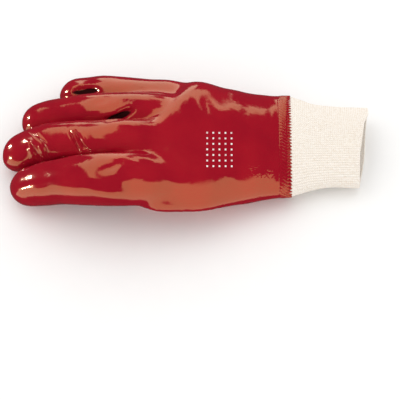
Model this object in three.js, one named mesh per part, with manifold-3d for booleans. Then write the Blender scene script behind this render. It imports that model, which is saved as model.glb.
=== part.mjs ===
// A dipped work glove with a knit wrist, lying palm down with its fingers curled on the floor.
// Millimetres, +Z up. The fingers point to -X and the thumb side is -Y.
// The model is laid out from the wrist line, where the coating ends, and centred at the end.
import * as THREE from 'three';
import * as BufferGeometryUtils from 'three/addons/utils/BufferGeometryUtils.js';
import Module from 'manifold-3d';

const wasm = await Module();
wasm.setup();

// Driving dimensions of the dipped hand
const palmLength = 108; // wrist line to the crotch of the first two fingers
const knuckleWidth = 113; // across the knuckles, outside
const knuckleHeight = 36; // side edges at the knuckles, above the floor
const backRise = 23; // dome of the back above the side edges
const palmDrop = 24; // palm below the side edges, on the little finger's side
const wristWidth = 86; // across the coating's end, outside
const wristDepth = 36; // from the floor to the top of the coating's end
const wristOffset = 10; // the wrist lies this far towards the little finger's side
const wall = 2; // coating and the cotton under it
const restCut = 0.7; // how deep soft bellies press flat on the floor
const foldDepth = 2.2; // the deepest soft fold in the palm and back
const creaseDepth = 1.1; // the creases at the digits' joints
const creaseWidth = 9; // from lip to lip along the digit

// Reach of each digit from the wrist line, and its width across at the middle joint
const indexReach = 209;
const indexWidth = 35;
const middleReach = 216;
const middleWidth = 30;
const ringReach = 203;
const ringWidth = 29;
const littleReach = 175;
const littleWidth = 26.5;
const thumbReach = 123;
const thumbWidth = 26;
const thumbDepth = 19;

// Driving dimensions of the ribbed hem and the knit wrist
const hemLength = 9; // coating over the root of the knit
const hemRise = 0.5; // the hem stands proud of the hand by this much
const cuffLength = 54; // wrist line to the middle of the mouth
const mouthWidth = 69;
const mouthDepth = 30;
const mouthSlant = 8.5; // the little finger's side of the mouth reaches further
const mouthLean = 6; // the lower lip of the mouth reaches further than the upper one
const mouthOffset = 11; // the mouth lies this far towards the little finger's side
const knitWall = 2;
const ribCount = 80;
const ribDepth = 0.7;
const clearance = 0.3; // between the knit and the coating around it

// Shares that shape the forms
const webStart = 0.1; // the crotches start to stay back here, as a share of a half width
const tipStretch = 1.35; // length of a rounded tip, as a share of its half width
const tipClose = 0.92; // how far round the tip its last ring lies
const creaseSides = 0.5; // depth of a crease at a digit's sides, as a share of creaseDepth

// Facets
const palmSides = 36;
const palmSteps = 14;
const digitSides = 16;
const digitSteps = 8;
const hollowSides = 12;
const cuffSides = 2 * ribCount;
const boreSides = 40;
const tipRings = 4;
const hollowStepsLess = 2; // the hollow needs fewer sections than the outside

const coat = new THREE.MeshStandardMaterial({ color: 0xa51228, roughness: 0.22, metalness: 0 });
const knit = new THREE.MeshStandardMaterial({ color: 0xf6ecdd, roughness: 0.95, metalness: 0 });

const { lerp } = THREE.MathUtils;

// Turns rows of numbers into rows with named columns.
function table(columns, rows) {
  return rows.map((row) => Object.fromEntries(columns.map((name, i) => [name, row[i]])));
}

// A smooth run of rows between the given ones, every column alike.
function smoothRows(rows, steps) {
  const names = Object.keys(rows[0]);
  const out = [];
  for (let i = 0; i <= steps; i++) {
    const t = (i / steps) * (rows.length - 1);
    const k = Math.min(Math.floor(t), rows.length - 2);
    const f = t - k;
    const row = {};
    for (const name of names) {
      const p1 = rows[k][name];
      const p2 = rows[k + 1][name];
      const p0 = k > 0 ? rows[k - 1][name] : 2 * p1 - p2;
      const p3 = k + 2 < rows.length ? rows[k + 2][name] : 2 * p2 - p1;
      const slope1 = (p2 - p0) / 2;
      const slope2 = (p3 - p1) / 2;
      const f2 = f * f;
      const f3 = f2 * f;
      row[name] = (2 * f3 - 3 * f2 + 1) * p1 + (f3 - 2 * f2 + f) * slope1
        + (3 * f2 - 2 * f3) * p2 + (f3 - f2) * slope2;
    }
    out.push(row);
  }
  return out;
}

// A closed body through rings of equally many points, with a fan over each end.
function loft(rings) {
  const sides = rings[0].length;
  const points = rings.flat();
  const faces = [];
  for (let r = 0; r + 1 < rings.length; r++) {
    for (let i = 0; i < sides; i++) {
      const a = r * sides + i;
      const b = r * sides + ((i + 1) % sides);
      faces.push(a, b, a + sides, b, b + sides, a + sides);
    }
  }
  for (const end of [0, rings.length - 1]) {
    const middle = new THREE.Vector3();
    for (const p of rings[end]) middle.addScaledVector(p, 1 / sides);
    const hub = points.length;
    points.push(middle);
    for (let i = 0; i < sides; i++) {
      const a = end * sides + i;
      const b = end * sides + ((i + 1) % sides);
      if (end === 0) faces.push(hub, b, a);
      else faces.push(hub, a, b);
    }
  }
  const geometry = new THREE.BufferGeometry();
  const numbers = points.flatMap((p) => [p.x, p.y, p.z]);
  geometry.setAttribute('position', new THREE.Float32BufferAttribute(numbers, 3));
  geometry.setIndex(faces);
  return geometry;
}

function toSolid(geometry) {
  const plain = geometry.clone();
  plain.deleteAttribute('normal');
  plain.deleteAttribute('uv');
  const merged = BufferGeometryUtils.mergeVertices(plain, 1e-4);
  const vertProperties = Float32Array.from(merged.attributes.position.array);
  const triVerts = Uint32Array.from(merged.index.array);
  const solid = new wasm.Manifold(new wasm.Mesh({ numProp: 3, vertProperties, triVerts }));
  if (solid.volume() > 0) return solid;
  for (let i = 0; i < triVerts.length; i += 3) {
    [triVerts[i], triVerts[i + 1]] = [triVerts[i + 1], triVerts[i]];
  }
  return new wasm.Manifold(new wasm.Mesh({ numProp: 3, vertProperties, triVerts }));
}

function toGeometry(solid) {
  const mesh = solid.getMesh();
  const geometry = new THREE.BufferGeometry();
  geometry.setAttribute('position', new THREE.Float32BufferAttribute(mesh.vertProperties, 3));
  geometry.setIndex(Array.from(mesh.triVerts));
  geometry.computeVertexNormals();
  return geometry;
}

function join(solids) {
  return solids.reduce((whole, next) => whole.add(next));
}

// Takes away everything below a height, which leaves the belly flat. With an edge given, it
// takes it away on the fingers' side of that edge only.
function cutBelow(solid, height, edge = null) {
  const reach = 4 * middleReach;
  const block = new THREE.BoxGeometry(reach, reach, reach);
  block.translate(edge === null ? 0 : edge - reach / 2, 0, height - reach / 2);
  return solid.subtract(toSolid(block));
}

// The palm's sections, from the wrist line to the crotches.
// along: share of palmLength. spread: 0 wristWidth, 1 knuckleWidth. shift: share of wristOffset.
// rise: 0 half wristDepth, 1 knuckleHeight. back: share of backRise.
// thumbSide, littleSide: the palm's drop there as shares of palmDrop.
// stay: how far the little finger's side stays back, as a share of palmLength.
const palmRows = table(
  ['along', 'spread', 'shift', 'rise', 'back', 'thumbSide', 'littleSide', 'stay'],
  [
    [0.0, 0.0, 1.0, 0.0, 0.78, 0.78, 0.78, 0.0],
    [0.14, 0.06, 0.86, 0.06, 0.82, 0.82, 0.82, 0.0],
    [0.29, 0.24, 0.64, 0.2, 0.9, 0.78, 0.92, 0.0],
    [0.45, 0.6, 0.36, 0.42, 0.96, 0.38, 0.98, 0.02],
    [0.61, 0.88, 0.12, 0.64, 0.99, 0.22, 0.96, 0.05],
    [0.77, 1.0, 0.0, 0.84, 0.98, 0.28, 0.9, 0.11],
    [0.9, 0.95, -0.1, 0.97, 0.9, 0.36, 0.8, 0.19],
    [1.0, 0.74, -0.1, 1.03, 0.72, 0.34, 0.6, 0.26],
    [1.05, 0.5, -0.06, 1.04, 0.42, 0.22, 0.36, 0.29],
  ],
);

// Soft folds and dents pressed into the back and palm.
// along: share of palmLength. turn: share of a turn, from the little finger's side over the back.
// length: share of palmLength. arc: share of a turn. depth: share of foldDepth, outwards if below 0.
const folds = table(['along', 'turn', 'length', 'arc', 'depth'], [
  [0.5, 0.1, 0.07, 0.1, 1.0],
  [0.37, 0.1, 0.06, 0.1, -0.5],
  [0.12, 0.25, 0.07, 0.3, 0.35],
  [0.8, 0.24, 0.16, 0.07, 0.6],
  [0.78, 0.4, 0.14, 0.05, 0.5],
  [0.62, 0.74, 0.2, 0.12, 0.9],
]);

function foldAt(along, turn) {
  let depth = 0;
  for (const fold of folds) {
    const down = (along - fold.along) / fold.length;
    const round = (turn - fold.turn) / fold.arc;
    depth += fold.depth * Math.exp(-down * down - round * round);
  }
  return depth * foldDepth;
}

function palmRing(row, inset, sides) {
  const halfWidth = lerp(wristWidth, knuckleWidth, row.spread) / 2 - inset;
  const height = lerp(wristDepth / 2, knuckleHeight, row.rise);
  const ring = [];
  for (let i = 0; i < sides; i++) {
    const turn = i / sides;
    const across = Math.cos(turn * 2 * Math.PI);
    const up = Math.sin(turn * 2 * Math.PI);
    const drop = lerp(row.thumbSide, row.littleSide, (1 + across) / 2) * palmDrop;
    const dent = inset + foldAt(row.along, turn);
    const reach = (up > 0 ? row.back * backRise : drop) - dent;
    const towardsLittle = THREE.MathUtils.smoothstep(across, -webStart, 1);
    ring.push(new THREE.Vector3(
      -(row.along - row.stay * towardsLittle) * palmLength,
      row.shift * wristOffset + across * halfWidth,
      height + up * reach,
    ));
  }
  return ring;
}

function palmBody(inset, steps, sides) {
  const rings = smoothRows(palmRows, steps).map((row) => palmRing(row, inset, sides));
  for (const p of rings[steps]) p.x += inset;
  return toSolid(loft(rings));
}

// Digits, from their root inside the palm to the tip.
// along: share of the way from the wrist line to the tip. side: share of knuckleWidth.
// rise: 0 resting on the floor, 1 knuckleHeight higher. wide, deep: shares of the width and depth.
// creases: where the joints' creases lie, as shares of the digit's own length.
const digitColumns = ['along', 'side', 'rise', 'wide', 'deep'];
const digits = [
  {
    creases: [0.42, 0.72],
    reach: indexReach, width: indexWidth, depth: indexWidth,
    rows: table(digitColumns, [
      [0.36, -0.26, 0.56, 1.02, 0.76],
      [0.5, -0.295, 0.74, 1.08, 0.9],
      [0.65, -0.318, 0.84, 1.08, 1.0],
      [0.765, -0.28, 0.63, 0.98, 0.94],
      [0.866, -0.25, 0.35, 0.88, 0.86],
      [0.94, -0.22, 0.1, 0.8, 0.8],
      [1.0, -0.19, 0.0, 0.76, 0.76],
    ]),
  },
  {
    creases: [0.47, 0.75],
    reach: middleReach, width: middleWidth, depth: middleWidth,
    rows: table(digitColumns, [
      [0.4, -0.015, 0.7, 1.04, 0.92],
      [0.52, -0.015, 0.84, 1.02, 1.0],
      [0.63, -0.01, 0.82, 1.0, 1.0],
      [0.74, 0.02, 0.64, 1.0, 0.97],
      [0.838, 0.044, 0.38, 1.0, 0.97],
      [0.92, 0.035, 0.14, 0.94, 0.92],
      [1.0, -0.01, 0.0, 0.9, 0.9],
    ]),
  },
  {
    creases: [0.5, 0.77],
    reach: ringReach, width: ringWidth, depth: ringWidth,
    rows: table(digitColumns, [
      [0.36, 0.22, 0.5, 1.04, 0.9],
      [0.52, 0.236, 0.64, 1.02, 1.0],
      [0.67, 0.252, 0.64, 1.0, 1.0],
      [0.79, 0.28, 0.4, 0.98, 0.97],
      [0.89, 0.294, 0.14, 0.95, 0.95],
      [1.0, 0.27, 0.0, 0.9, 0.9],
    ]),
  },
  {
    creases: [0.52, 0.77],
    reach: littleReach, width: littleWidth, depth: littleWidth,
    rows: table(digitColumns, [
      [0.34, 0.36, 0.36, 1.02, 0.9],
      [0.48, 0.395, 0.42, 1.04, 1.0],
      [0.63, 0.43, 0.4, 1.02, 1.0],
      [0.78, 0.475, 0.25, 1.0, 1.0],
      [0.9, 0.506, 0.06, 0.96, 0.96],
      [1.0, 0.52, 0.0, 0.92, 0.92],
    ]),
  },
  {
    creases: [0.62],
    reach: thumbReach, width: thumbWidth, depth: thumbDepth,
    rows: table(digitColumns, [
      [0.16, -0.07, 0.22, 1.3, 1.2],
      [0.34, -0.18, 0.1, 1.2, 1.12],
      [0.52, -0.235, 0.0, 1.06, 1.0],
      [0.74, -0.235, 0.0, 1.0, 1.0],
      [1.0, -0.23, 0.0, 0.94, 0.98],
    ]),
  },
];

function digitBody(digit, inset, steps, sides) {
  const stations = smoothRows(digit.rows, steps).map((row) => {
    const halfDepth = (row.deep * digit.depth) / 2;
    return {
      at: new THREE.Vector3(
        -row.along * digit.reach,
        row.side * knuckleWidth,
        halfDepth - restCut + row.rise * knuckleHeight,
      ),
      halfWidth: (row.wide * digit.width) / 2 - inset,
      halfDepth: halfDepth - inset,
    };
  });
  const path = new THREE.CatmullRomCurve3(stations.map((s) => s.at));
  const length = path.getLength();
  const tip = stations[steps];
  const tipLength = tip.halfWidth * tipStretch;
  const bodyEnd = length - inset - tipLength;
  const marks = [];
  for (let i = 0; i <= steps; i++) marks.push({ s: (bodyEnd * i) / steps, scale: 1, crease: 0 });
  for (const share of inset > 0 ? [] : digit.creases) {
    const middle = share * length;
    const near = marks.findIndex((mark) => Math.abs(mark.s - middle) < creaseWidth / 2);
    if (near >= 0) marks.splice(near, 1);
    for (const side of [-1, 0, 1]) {
      marks.push({ s: middle + (side * creaseWidth) / 2, scale: 1, crease: side === 0 ? creaseDepth : 0 });
    }
  }
  marks.sort((a, b) => a.s - b.s);
  for (let i = 1; i <= tipRings; i++) {
    const angle = ((tipClose * i) / tipRings) * (Math.PI / 2);
    marks.push({ s: bodyEnd + Math.sin(angle) * tipLength, scale: Math.cos(angle), crease: 0 });
  }
  const rings = marks.map(({ s, scale, crease }) => {
    const u = s / length;
    const centre = path.getPointAt(u);
    const ahead = path.getTangentAt(u);
    const across = new THREE.Vector3(0, 0, 1).cross(ahead).normalize();
    const up = ahead.clone().cross(across);
    const k = path.getUtoTmapping(u) * steps;
    const low = stations[Math.min(Math.floor(k), steps)];
    const high = stations[Math.min(Math.floor(k) + 1, steps)];
    const f = k - Math.floor(k);
    const halfWidth = lerp(low.halfWidth, high.halfWidth, f) * scale - crease * creaseSides;
    const halfDepth = lerp(low.halfDepth, high.halfDepth, f) * scale - crease;
    const ring = [];
    for (let i = 0; i < sides; i++) {
      const angle = (i / sides) * 2 * Math.PI;
      ring.push(centre.clone()
        .addScaledVector(across, Math.cos(angle) * halfWidth)
        .addScaledVector(up, Math.sin(angle) * halfDepth));
    }
    return ring;
  });
  return toSolid(loft(rings));
}

// One ring of the wrist: an ellipse that stands on the floor, with a valley of depth ribs
// between each two ribs. slant and lean move its far side and its underside along the wrist.
function wristRing({ x, side, halfWidth, halfDepth, height, slant = 0, lean = 0 }, ribs, sides) {
  const ring = [];
  for (let i = 0; i < sides; i++) {
    const angle = (i / sides) * 2 * Math.PI;
    const valley = i % 2 ? ribs : 0;
    ring.push(new THREE.Vector3(
      x + slant * Math.cos(angle) - lean * Math.sin(angle),
      side + Math.cos(angle) * (halfWidth - valley),
      height + Math.sin(angle) * (halfDepth - valley),
    ));
  }
  return ring;
}

// The ribbed hem at the end of the coating.
function hemBody() {
  const section = {
    side: wristOffset,
    halfWidth: wristWidth / 2 + hemRise,
    halfDepth: wristDepth / 2 + hemRise,
    height: wristDepth / 2,
  };
  const rings = [-hemLength, 0].map((x) => wristRing({ ...section, x }, ribDepth, cuffSides));
  return toSolid(loft(rings));
}

// The knit wrist's sections, from its root inside the hem to the mouth.
// along: share of cuffLength. narrow: 0 the hem's bore, 1 the mouth.
const cuffRows = table(['along', 'narrow'], [
  [0.0, 0.0],
  [0.14, 0.32],
  [0.32, 0.72],
  [0.6, 1.0],
  [1.0, 1.0],
]);

// The knit's section at a share of its length. inset moves it inwards, for the tube's inside.
function cuffSection(along, narrow, inset) {
  const rootInset = wall + clearance - hemRise;
  return {
    x: along * cuffLength,
    side: lerp(wristOffset, mouthOffset, narrow),
    halfWidth: lerp(wristWidth / 2 - rootInset, mouthWidth / 2, narrow) - inset,
    halfDepth: lerp(wristDepth / 2 - rootInset, mouthDepth / 2, narrow) - inset,
    height: lerp(wristDepth / 2, mouthDepth / 2 - restCut, narrow),
    slant: (along * mouthSlant) / 2,
    lean: (along * mouthLean) / 2,
  };
}

// The knit's body from its root in the hem to the mouth. overshoot lets a cutting body run past
// both ends.
function cuffBody(inset, ribs, sides, overshoot) {
  const sections = cuffRows.map((row) => cuffSection(row.along, row.narrow, inset));
  const root = { ...sections[0], x: -hemLength - overshoot };
  const rings = [root, ...sections].map((section) => wristRing(section, ribs, sides));
  if (overshoot > 0) {
    const mouth = sections[sections.length - 1];
    rings.push(wristRing({ ...mouth, x: mouth.x + overshoot }, ribs, sides));
  }
  return toSolid(loft(rings));
}

// The hand: outside, less the hollow of the palm and digits, less the bore that holds the knit.
const handOutside = cutBelow(
  join([
    palmBody(0, palmSteps, palmSides),
    hemBody(),
    ...digits.map((digit) => digitBody(digit, 0, digitSteps, digitSides)),
  ]),
  0,
);
const handHollow = cutBelow(
  join([
    palmBody(wall, palmSteps - hollowStepsLess, palmSides),
    ...digits.map((digit) => digitBody(digit, wall, digitSteps - hollowStepsLess, hollowSides)),
  ]),
  wall,
);
const hemBore = cutBelow(cuffBody(-clearance, 0, boreSides, 1), wall);
const handShell = handOutside.subtract(handHollow).subtract(hemBore);

// The knit wrist: a ribbed tube whose belly rests flat, and clears the coating under its root.
const cuffOutside = cutBelow(
  cutBelow(cuffBody(0, ribDepth, cuffSides, 0), 0),
  wall + clearance,
  clearance,
);
const cuffHollow = cutBelow(cuffBody(knitWall, 0, boreSides, 1), knitWall + wall);
const knitCuff = cuffOutside.subtract(cuffHollow);

function piece(name, solid, material) {
  const mesh = new THREE.Mesh(toGeometry(solid), material);
  mesh.name = name;
  return mesh;
}

const glove = new THREE.Group();
glove.add(piece('hand_shell', handShell, coat));
glove.add(piece('knit_cuff', knitCuff, knit));

// The origin is on the floor, at the middle of the glove's box.
const box = new THREE.Box3().setFromObject(glove);
const centre = box.getCenter(new THREE.Vector3());
glove.position.set(-centre.x, -centre.y, -box.min.z);

export default glove;
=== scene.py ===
# %% [markdown]
# # A dipped work glove with a knit wrist
#
# The hand is knitted cotton dipped in soft red PVC. The coat is one skin without a seam, thick
# enough to smooth the cloth, thin enough to wrinkle where the fingers bend. At the wrist the
# dip ends in a short hem over the root of a ribbed knit cuff.
# We model three pieces: the coated hand, the knit wrist and a small field of printed dots.

# %% Load the frame
import math
import bmesh
import bpy
import numpy as np
from mathutils import Matrix, Vector
from mathutils.bvhtree import BVHTree


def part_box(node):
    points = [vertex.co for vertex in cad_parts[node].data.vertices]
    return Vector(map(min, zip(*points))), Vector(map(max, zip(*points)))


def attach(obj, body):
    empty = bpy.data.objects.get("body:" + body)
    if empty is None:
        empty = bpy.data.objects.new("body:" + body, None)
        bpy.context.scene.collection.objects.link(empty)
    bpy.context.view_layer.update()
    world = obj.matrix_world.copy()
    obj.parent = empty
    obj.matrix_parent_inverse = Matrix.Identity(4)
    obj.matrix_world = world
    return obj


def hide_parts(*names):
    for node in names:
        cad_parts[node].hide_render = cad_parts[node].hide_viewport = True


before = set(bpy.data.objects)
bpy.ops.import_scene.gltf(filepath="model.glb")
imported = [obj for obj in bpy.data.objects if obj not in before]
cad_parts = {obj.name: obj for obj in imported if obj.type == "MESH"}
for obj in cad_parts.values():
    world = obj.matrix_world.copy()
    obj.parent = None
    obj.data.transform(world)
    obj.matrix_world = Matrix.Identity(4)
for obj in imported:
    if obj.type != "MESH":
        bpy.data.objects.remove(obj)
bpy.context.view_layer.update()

MM = 0.001  # metres
hand_low, hand_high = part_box("hand_shell")

# %% [markdown]
# ## Camera
#
# The picture looks down on the glove at 60 degrees, from the thumb's side. A long lens from far
# away keeps the fingers in proportion, so the frame can be matched with one scale: so many
# millimetres of the object for each pixel.

# %% Camera
PHOTO_SIDE = 400  # pixels
MM_PER_PIXEL = 0.75
CAMERA_ELEVATION = math.radians(60)
CAMERA_LENS = 200  # mm
SENSOR_WIDTH = 36  # mm
VIEW_MIDDLE = Vector((0.0105, -0.0339, 0.0))  # the point of the floor at the picture's centre

view_width = PHOTO_SIDE * MM_PER_PIXEL * MM
toward_camera = Vector((0, -math.cos(CAMERA_ELEVATION), math.sin(CAMERA_ELEVATION)))
view_up = Vector((0, math.sin(CAMERA_ELEVATION), math.cos(CAMERA_ELEVATION)))
camera = bpy.data.objects.new("camera", bpy.data.cameras.new("camera"))
camera.data.lens = CAMERA_LENS
camera.data.sensor_width = SENSOR_WIDTH
camera_distance = view_width * CAMERA_LENS / SENSOR_WIDTH
camera.location = VIEW_MIDDLE + toward_camera * camera_distance
camera.rotation_mode = "QUATERNION"
camera.rotation_quaternion = (-toward_camera).to_track_quat("-Z", "Y")
bpy.context.scene.collection.objects.link(camera)
bpy.context.scene.camera = camera
print("camera distance, m:", round(camera_distance, 3))


def photo_pixels(points):
    """Where points of the object, in metres, fall in the picture: pixels right and down."""
    offset = points - np.array(VIEW_MIDDLE)
    right = offset[:, 0] / view_width * PHOTO_SIDE + PHOTO_SIDE / 2
    down = PHOTO_SIDE / 2 - offset @ np.array(view_up) / view_width * PHOTO_SIDE
    return right, down


# %% [markdown]
# ## Measurements of the hand
#
# A dipping former is a hand of known sizes, so the glove is laid out from those: reach and width
# of each finger, width across the knuckles, height of the back. The tables hold sections as
# shares of these sizes. They are the same tables as the engineering model's, because the looks
# have to sit exactly where the frame is.

# %% Sizes of the palm and wrist
# All in mm, but WEB_START, which is a share of the palm's half width.
PALM_LENGTH = 108
KNUCKLE_WIDTH = 113
KNUCKLE_HEIGHT = 36
BACK_RISE = 23
PALM_DROP = 24
WRIST_WIDTH = 86
WRIST_DEPTH = 36
WRIST_OFFSET = 10
WALL = 2
REST_CUT = 0.7
FOLD_DEPTH = 2.2
WEB_START = 0.1

# Sections from the wrist to the crotches: along, spread, shift, rise, back, thumb side's drop,
# little finger's drop, and how far the little finger's side stays back.
PALM_SECTIONS = np.array([
    [0.0, 0.0, 1.0, 0.0, 0.78, 0.78, 0.78, 0.0],
    [0.14, 0.06, 0.86, 0.06, 0.82, 0.82, 0.82, 0.0],
    [0.29, 0.24, 0.64, 0.2, 0.9, 0.78, 0.92, 0.0],
    [0.45, 0.6, 0.36, 0.42, 0.96, 0.38, 0.98, 0.02],
    [0.61, 0.88, 0.12, 0.64, 0.99, 0.22, 0.96, 0.05],
    [0.77, 1.0, 0.0, 0.84, 0.98, 0.28, 0.9, 0.11],
    [0.9, 0.95, -0.1, 0.97, 0.9, 0.36, 0.8, 0.19],
    [1.0, 0.74, -0.1, 1.03, 0.72, 0.34, 0.6, 0.26],
    [1.05, 0.5, -0.06, 1.04, 0.42, 0.22, 0.36, 0.29],
])

# Soft folds: along, turn, length, arc, depth as a share of FOLD_DEPTH.
PALM_FOLDS = [
    (0.5, 0.1, 0.07, 0.1, 1.0),
    (0.37, 0.1, 0.06, 0.1, -0.5),
    (0.12, 0.25, 0.07, 0.3, 0.35),
    (0.8, 0.24, 0.16, 0.07, 0.6),
    (0.78, 0.4, 0.14, 0.05, 0.5),
    (0.62, 0.74, 0.2, 0.12, 0.9),
]
print("palm:", len(PALM_SECTIONS), "sections,", len(PALM_FOLDS), "folds")

# %% [markdown]
# ## Fingers and thumb
#
# A hand at rest curls. Each finger rises from the knuckles, bends twice and comes down on its
# tip, and the thumb lies under the palm. A digit is a path with a width and a depth at a few
# places, and shallow creases at its joints. The fingers are flatter on top than a true oval,
# as a glove's are, because nothing fills them.

# %% Sizes of the digits
# All in mm, but the shares that say so.
CREASE_DEPTH = 0.3
CREASE_WIDTH = 11
CREASE_SIDES = 0.5  # share of a crease's depth that shows at the sides
TIP_STRETCH = 1.35  # a tip's length as a share of its half width
SQUARE = 2.35  # 2 is a true oval, more is flatter on top and at the sides
FLATTEN = 0.05  # a finger rolled by more than ROLLED is this share wider and less deep
ROLLED = 8  # degrees
AHEAD = 2  # mm before and behind a section that give the path's direction there

# Sections of each digit: along, side, rise, wide, deep. roll turns its flat top away from the
# thumb, in degrees, because a soft finger lies a little on its side.
DIGITS = {
    "index": {
        "reach": 209, "width": 35, "depth": 35, "creases": [0.42, 0.72], "roll": -4,
        "sections": [
            [0.36, -0.26, 0.56, 1.02, 0.76],
            [0.5, -0.295, 0.79, 1.08, 0.9],
            [0.65, -0.318, 0.81, 1.08, 1.0],
            [0.765, -0.28, 0.64, 0.98, 0.94],
            [0.866, -0.25, 0.35, 0.88, 0.86],
            [0.94, -0.22, 0.1, 0.8, 0.8],
            [1.0, -0.19, 0.0, 0.76, 0.76],
        ],
    },
    "middle": {
        "reach": 216, "width": 30, "depth": 30, "creases": [0.47, 0.75], "roll": 0,
        "sections": [
            [0.4, -0.015, 0.7, 1.04, 0.92],
            [0.52, -0.015, 0.84, 1.02, 1.0],
            [0.63, -0.01, 0.82, 1.0, 1.0],
            [0.74, 0.02, 0.64, 1.0, 0.97],
            [0.838, 0.044, 0.415, 1.0, 0.97],
            [0.92, 0.035, 0.14, 0.94, 0.92],
            [1.0, -0.01, 0.0, 0.9, 0.9],
        ],
    },
    "ring": {
        "reach": 203, "width": 29, "depth": 29, "creases": [0.5, 0.77], "roll": 8,
        "sections": [
            [0.36, 0.22, 0.5, 1.04, 0.9],
            [0.52, 0.236, 0.66, 1.02, 1.0],
            [0.67, 0.252, 0.61, 1.0, 1.0],
            [0.79, 0.28, 0.39, 0.98, 0.97],
            [0.89, 0.294, 0.125, 0.95, 0.95],
            [1.0, 0.27, 0.0, 0.9, 0.9],
        ],
    },
    "little": {
        "reach": 175, "width": 26.5, "depth": 26.5, "creases": [0.52, 0.77], "roll": 19,
        "sections": [
            [0.34, 0.36, 0.36, 1.02, 0.9],
            [0.48, 0.395, 0.42, 1.04, 1.0],
            [0.63, 0.43, 0.385, 1.02, 1.0],
            [0.78, 0.475, 0.265, 1.0, 1.0],
            [0.9, 0.506, 0.09, 0.96, 0.96],
            [1.0, 0.52, 0.0, 0.92, 0.92],
        ],
    },
    "thumb": {
        "reach": 123, "width": 26, "depth": 19, "creases": [0.62], "roll": 0,
        "sections": [
            [0.16, -0.07, 0.22, 1.3, 1.2],
            [0.34, -0.17, 0.1, 1.2, 1.12],
            [0.52, -0.21, 0.0, 1.06, 1.0],
            [0.74, -0.205, 0.0, 1.0, 1.0],
            [1.0, -0.2, 0.0, 0.94, 0.98],
        ],
    },
}
print("reach of each digit, mm:", {name: digit["reach"] for name, digit in DIGITS.items()})

# %% [markdown]
# ## Lofting
#
# A loft is a skin over a row of cross-sections, as on a boat's ribs. The hand's back needs wide
# oval sections, a finger round ones set square to its bent path. A smooth curve through the few
# rows of each table gives as many sections as the skin needs.

# %% Smooth curves
def smooth_rows(rows, steps):
    """Rows between the given ones, on a smooth curve through them."""
    rows = np.asarray(rows, float)
    padded = np.vstack([2 * rows[0] - rows[1], rows, 2 * rows[-1] - rows[-2]])
    t = np.linspace(0, len(rows) - 1, steps + 1)
    k = np.minimum(t.astype(int), len(rows) - 2)
    f = (t - k)[:, None]
    p0, p1, p2, p3 = (padded[k + i] for i in range(4))
    slope_in, slope_out = (p2 - p0) / 2, (p3 - p1) / 2
    return ((2 * f**3 - 3 * f**2 + 1) * p1 + (f**3 - 2 * f**2 + f) * slope_in
            + (3 * f**2 - 2 * f**3) * p2 + (f**3 - f**2) * slope_out)


def smoothstep(value, low, high):
    t = np.clip((value - low) / (high - low), 0, 1)
    return t * t * (3 - 2 * t)


def mix(a, b, share):
    return a + (b - a) * share


print("palm's sections on a smooth curve:", len(smooth_rows(PALM_SECTIONS, 90)))

# %% [markdown]
# ## Sections of the palm
#
# The palm's section is half an oval above and two quarter ovals below, one towards the thumb and
# one towards the little finger, because the ball of the thumb hangs lower. The soft folds across
# the back are bells taken off its radius.

# %% Palm sections
PALM_STEPS = 90
PALM_SIDES = 120
ROW_STEPS = 400  # steps of the table that looks up single rows


def palm_ring(row, inset, turn):
    """One cross-section of the palm. row is a row of its table, turn a share of the way round."""
    along, spread, shift, rise, back, thumb, little, stay = row
    across, up = np.cos(turn * 2 * math.pi), np.sin(turn * 2 * math.pi)
    dent = np.zeros(len(turn)) + inset
    for f_along, f_turn, f_length, f_arc, f_depth in PALM_FOLDS:
        bell = np.exp(-((along - f_along) / f_length) ** 2 - ((turn - f_turn) / f_arc) ** 2)
        dent = dent + f_depth * FOLD_DEPTH * bell
    drop = mix(thumb, little, (1 + across) / 2) * PALM_DROP
    reach = np.where(up > 0, back * BACK_RISE, drop) - dent
    x = -(along - stay * smoothstep(across, -WEB_START, 1)) * PALM_LENGTH
    half_width = mix(WRIST_WIDTH, KNUCKLE_WIDTH, spread) / 2 - inset
    y = shift * WRIST_OFFSET + across * half_width
    z = mix(WRIST_DEPTH / 2, KNUCKLE_HEIGHT, rise) + up * reach
    return np.stack([x + np.zeros_like(y), y, z], axis=1)


def palm_rings(inset):
    """The palm's cross-sections, inset from the outside."""
    turn = np.arange(PALM_SIDES) / PALM_SIDES
    rows = smooth_rows(PALM_SECTIONS, PALM_STEPS)
    rings = np.array([palm_ring(row, inset, turn) for row in rows])
    rings[-1][:, 0] += inset
    return rings


def palm_row(along):
    """The palm's table at any place along it, as a list of columns."""
    rows = smooth_rows(PALM_SECTIONS, ROW_STEPS).T
    return [np.interp(along, rows[0], column) for column in rows]


print("palm's box, mm:", np.round(np.ptp(palm_rings(0).reshape(-1, 3), axis=0), 1))

# %% [markdown]
# ## Sections of a digit
#
# A finger's sections stand square to its path, as coins on a bent wire. They are evenly spaced
# along the path's true length. At the tip they shrink as a sphere's do, a little stretched.

# %% Digit sections
DIGIT_STEPS = 70
TIP_STEPS = 14
DIGIT_SIDES = 56
TIP_END = math.pi / 2 * 0.99  # how far the tip closes before its last point


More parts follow.
